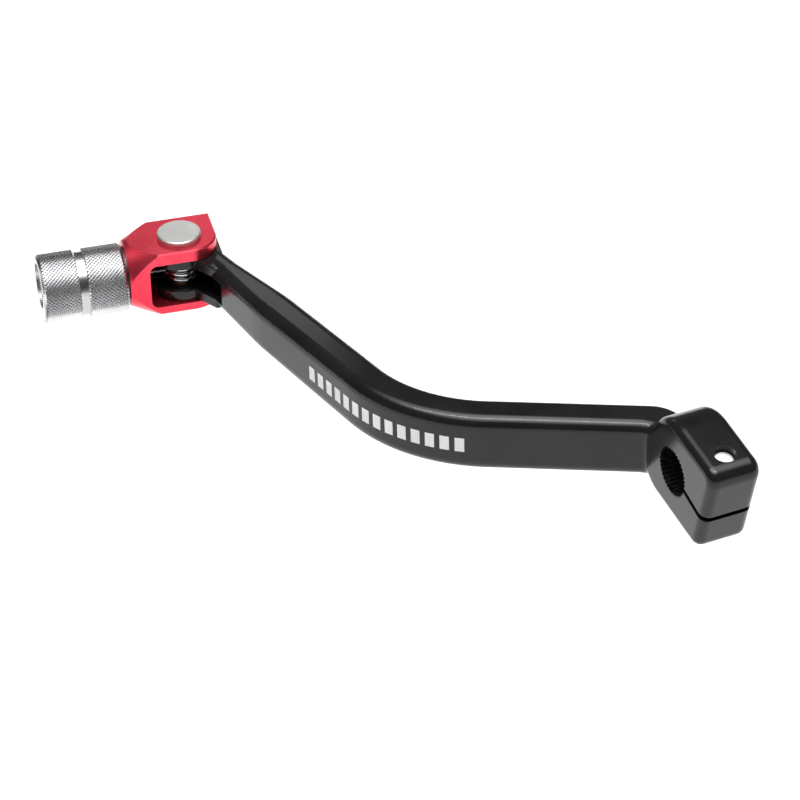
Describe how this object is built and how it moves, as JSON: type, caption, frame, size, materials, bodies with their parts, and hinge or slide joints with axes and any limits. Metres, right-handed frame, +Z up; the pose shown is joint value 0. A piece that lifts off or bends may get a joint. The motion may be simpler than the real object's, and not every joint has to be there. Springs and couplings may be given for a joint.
{
  "type": "gear shift lever",
  "caption": "Folding-tip gear shift lever: splined pinch clamp, S-bent arm and a sprung, knurled, off-centre adjustable toe piece.",
  "frame": {"origin": "where the axis of the shift shaft meets the outer face of the clamp", "axes": "+X from the clamp towards the toe tip (forward on the machine), +Y outward along the shift shaft, away from the engine, +Z up and parallel to the axis the toe tip folds about"},
  "size_m": [0.1619, 0.1125, 0.0256],
  "materials": {
    "black_anodised": "gloss",
    "red_anodised": "satin",
    "toe_aluminium": "satin",
    "bolt_steel": "satin",
    "spring_steel": "gloss",
    "bronze": "satin"
  },
  "bodies": {
    "arm": {"lever_arm": "black_anodised", "pinch_bolt": "bolt_steel", "pivot_bush_upper": "bronze", "pivot_bush_lower": "bronze", "return_spring": "spring_steel"},
    "holder": {"tip_holder": "red_anodised", "pivot_bolt": "bolt_steel", "tip_bolt": "bolt_steel", "tip_washer": "bolt_steel"},
    "toe": {"knurled_tip": "toe_aluminium"}
  },
  "joints": [
    {"name": "tip_fold", "type": "hinge", "parent": "arm", "child": "holder", "pos_m": [0.1299, 0.06475, -0.003], "axis": [0, 0, 1], "range_deg": [0, 65], "stiffness_Nm_per_rad": 0.4, "springref_deg": -28.65, "deforming": ["return_spring"]},
    {"name": "tip_turn", "type": "hinge", "parent": "holder", "child": "toe", "pos_m": [0.13044, 0.06465, -0.003], "axis": [0.1736, 0.9848, 0], "continuous": true}
  ]
}
